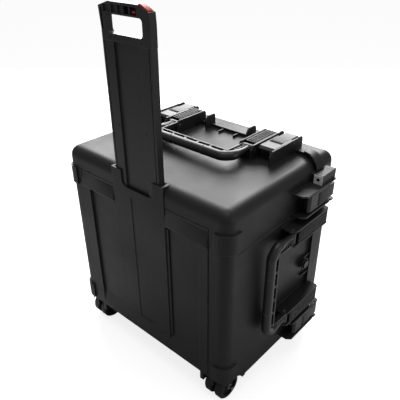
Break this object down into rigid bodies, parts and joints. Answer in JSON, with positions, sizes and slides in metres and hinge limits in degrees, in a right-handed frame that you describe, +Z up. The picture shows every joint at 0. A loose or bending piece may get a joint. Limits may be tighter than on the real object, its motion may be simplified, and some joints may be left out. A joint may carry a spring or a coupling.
{
  "type": "rolling tool box",
  "caption": "Deep square moulded case standing on twin corner wheels, with a latched lid, fold-flat carry handles and a pull handle sliding in a sleeve.",
  "frame": {"origin": "on the floor, under the middle of the box around the whole part in X and Y", "axes": "+X to the right when facing the pull handle, +Y from the pull handle's side to the lid, +Z up from the floor along the pull handle"},
  "size_m": [0.738, 0.5274, 1.127],
  "materials": {
    "shell": "fine-textured satin black",
    "rubber": "matt",
    "pin_steel": "satin",
    "plate_steel": "brushed",
    "knob": "satin",
    "latch": "satin black",
    "handle": "fine-textured black",
    "sleeve": "satin black",
    "pull_handle": "smooth satin black",
    "screw": "plain",
    "button": "smooth red",
    "mechanism": "plain",
    "housing": "satin black",
    "axle": "plain",
    "tyre": "matt rubber",
    "hub": "satin",
    "bush": "plain"
  },
  "bodies": {
    "case": {"tub": "shell", "tub_padlock_plates": "plate_steel", "valve_body": "shell", "valve_seal": "rubber", "valve_nut": "shell", "rubber_feet": "rubber", "latch_pins": "pin_steel", "handle_pins": "pin_steel", "hinge_pins": "pin_steel", "sleeve": "sleeve", "sleeve_screws": "screw", "right_housing": "housing", "left_housing": "housing", "housing_screws": "screw", "axles": "axle"},
    "lid": {"lid": "shell", "lid_seal": "rubber", "lid_padlock_plates": "plate_steel"},
    "valve": {"valve_knob": "knob"},
    "pull_handle": {"pull_panel": "pull_handle", "grip_head": "pull_handle", "grip_screws": "screw", "button_spring": "mechanism"},
    "release": {"release_button": "button", "release_link": "button", "push_rods": "mechanism"},
    "right_bolt": {"right_lock_bolt": "mechanism"},
    "left_bolt": {"left_lock_bolt": "mechanism"},
    "top_carry_handle": {"top_handle": "handle"},
    "right_carry_handle": {"right_handle": "handle"},
    "left_carry_handle": {"left_handle": "handle"},
    "lever_1": {"latch_1_lever": "latch"},
    "claw_1": {"latch_1_claw": "latch"},
    "lever_2": {"latch_2_lever": "latch"},
    "claw_2": {"latch_2_claw": "latch"},
    "lever_3": {"latch_3_lever": "latch"},
    "claw_3": {"latch_3_claw": "latch"},
    "lever_4": {"latch_4_lever": "latch"},
    "claw_4": {"latch_4_claw": "latch"},
    "lever_5": {"latch_5_lever": "latch"},
    "claw_5": {"latch_5_claw": "latch"},
    "lever_6": {"latch_6_lever": "latch"},
    "claw_6": {"latch_6_claw": "latch"},
    "wheel_1": {"wheel_1_tyre": "tyre", "wheel_1_hub": "hub", "wheel_1_bush": "bush"},
    "wheel_2": {"wheel_2_tyre": "tyre", "wheel_2_hub": "hub", "wheel_2_bush": "bush"},
    "wheel_3": {"wheel_3_tyre": "tyre", "wheel_3_hub": "hub", "wheel_3_bush": "bush"},
    "wheel_4": {"wheel_4_tyre": "tyre", "wheel_4_hub": "hub", "wheel_4_bush": "bush"}
  },
  "joints": [
    {"name": "lid_hinge", "type": "hinge", "parent": "case", "child": "lid", "pos_m": [0, 0.1725, 0.014], "axis": [-1, 0, 0], "range_deg": [0, 100]},
    {"name": "valve_turn", "type": "hinge", "parent": "case", "child": "valve", "pos_m": [0.335, 0.11825, 0.345], "axis": [1, 0, 0], "range_deg": [0, 180]},
    {"name": "pull_slide", "type": "slide", "parent": "case", "child": "pull_handle", "axis": [0, 0, 1], "range_m": [-0.43, 0]},
    {"name": "release_press", "type": "slide", "parent": "pull_handle", "child": "release", "axis": [0, 0, -1], "range_m": [0, 0.0035], "stiffness_N_per_m": 1500, "springref_m": -0.003, "deforming": ["button_spring"]},
    {"name": "right_bolt_slide", "type": "slide", "parent": "pull_handle", "child": "right_bolt", "axis": [-1, 0, 0], "range_m": [0, 0.0035]},
    {"name": "left_bolt_slide", "type": "slide", "parent": "pull_handle", "child": "left_bolt", "axis": [1, 0, 0], "range_m": [0, 0.0035]},
    {"name": "lever_1_turn", "type": "hinge", "parent": "case", "child": "lever_1", "pos_m": [0.208, 0.14825, 0.72], "axis": [-1, 0, 0], "range_deg": [0, 95]},
    {"name": "claw_1_turn", "type": "hinge", "parent": "lever_1", "child": "claw_1", "pos_m": [0.208, 0.12025, 0.708], "axis": [-1, 0, 0], "range_deg": [-95, 0]},
    {"name": "lever_2_turn", "type": "hinge", "parent": "case", "child": "lever_2", "pos_m": [-0.208, 0.14825, 0.72], "axis": [-1, 0, 0], "range_deg": [0, 95]},
    {"name": "claw_2_turn", "type": "hinge", "parent": "lever_2", "child": "claw_2", "pos_m": [-0.208, 0.12025, 0.708], "axis": [-1, 0, 0], "range_deg": [-95, 0]},
    {"name": "lever_3_turn", "type": "hinge", "parent": "case", "child": "lever_3", "pos_m": [0.359, 0.14825, 0.1315], "axis": [0, 0, 1], "range_deg": [0, 95]},
    {"name": "claw_3_turn", "type": "hinge", "parent": "lever_3", "child": "claw_3", "pos_m": [0.347, 0.12025, 0.1315], "axis": [0, 0, 1], "range_deg": [-95, 0]},
    {"name": "lever_4_turn", "type": "hinge", "parent": "case", "child": "lever_4", "pos_m": [0.359, 0.14825, 0.5975], "axis": [0, 0, 1], "range_deg": [0, 95]},
    {"name": "claw_4_turn", "type": "hinge", "parent": "lever_4", "child": "claw_4", "pos_m": [0.347, 0.12025, 0.5975], "axis": [0, 0, 1], "range_deg": [-95, 0]},
    {"name": "lever_5_turn", "type": "hinge", "parent": "case", "child": "lever_5", "pos_m": [-0.359, 0.14825, 0.5975], "axis": [0, 0, -1], "range_deg": [0, 95]},
    {"name": "claw_5_turn", "type": "hinge", "parent": "lever_5", "child": "claw_5", "pos_m": [-0.347, 0.12025, 0.5975], "axis": [0, 0, -1], "range_deg": [-95, 0]},
    {"name": "lever_6_turn", "type": "hinge", "parent": "case", "child": "lever_6", "pos_m": [-0.359, 0.14825, 0.1315], "axis": [0, 0, -1], "range_deg": [0, 95]},
    {"name": "claw_6_turn", "type": "hinge", "parent": "lever_6", "child": "claw_6", "pos_m": [-0.347, 0.12025, 0.1315], "axis": [0, 0, -1], "range_deg": [-95, 0]},
    {"name": "top_handle_turn", "type": "hinge", "parent": "case", "child": "top_carry_handle", "pos_m": [0, 0.04425, 0.716], "axis": [-1, 0, 0], "range_deg": [0, 95]},
    {"name": "right_handle_turn", "type": "hinge", "parent": "case", "child": "right_carry_handle", "pos_m": [0.355, -0.00575, 0.3645], "axis": [0, 0, 1], "range_deg": [0, 95]},
    {"name": "left_handle_turn", "type": "hinge", "parent": "case", "child": "left_carry_handle", "pos_m": [-0.355, -0.00575, 0.3645], "axis": [0, 0, -1], "range_deg": [0, 95]},
    {"name": "wheel_1_spin", "type": "hinge", "parent": "case", "child": "wheel_1", "pos_m": [-0.295, -0.21175, 0.044], "axis": [1, 0, 0], "continuous": true},
    {"name": "wheel_2_spin", "type": "hinge", "parent": "case", "child": "wheel_2", "pos_m": [-0.257, -0.21175, 0.044], "axis": [1, 0, 0], "continuous": true},
    {"name": "wheel_3_spin", "type": "hinge", "parent": "case", "child": "wheel_3", "pos_m": [0.257, -0.21175, 0.044], "axis": [1, 0, 0], "continuous": true},
    {"name": "wheel_4_spin", "type": "hinge", "parent": "case", "child": "wheel_4", "pos_m": [0.295, -0.21175, 0.044], "axis": [1, 0, 0], "continuous": true}
  ],
  "couplings": [
    {"joint": "right_bolt_slide", "follows": "release_press", "ratio": 1},
    {"joint": "left_bolt_slide", "follows": "release_press", "ratio": 1},
    {"joint": "claw_1_turn", "follows": "lever_1_turn", "ratio": -1},
    {"joint": "claw_2_turn", "follows": "lever_2_turn", "ratio": -1},
    {"joint": "claw_3_turn", "follows": "lever_3_turn", "ratio": -1},
    {"joint": "claw_4_turn", "follows": "lever_4_turn", "ratio": -1},
    {"joint": "claw_5_turn", "follows": "lever_5_turn", "ratio": -1},
    {"joint": "claw_6_turn", "follows": "lever_6_turn", "ratio": -1}
  ]
}
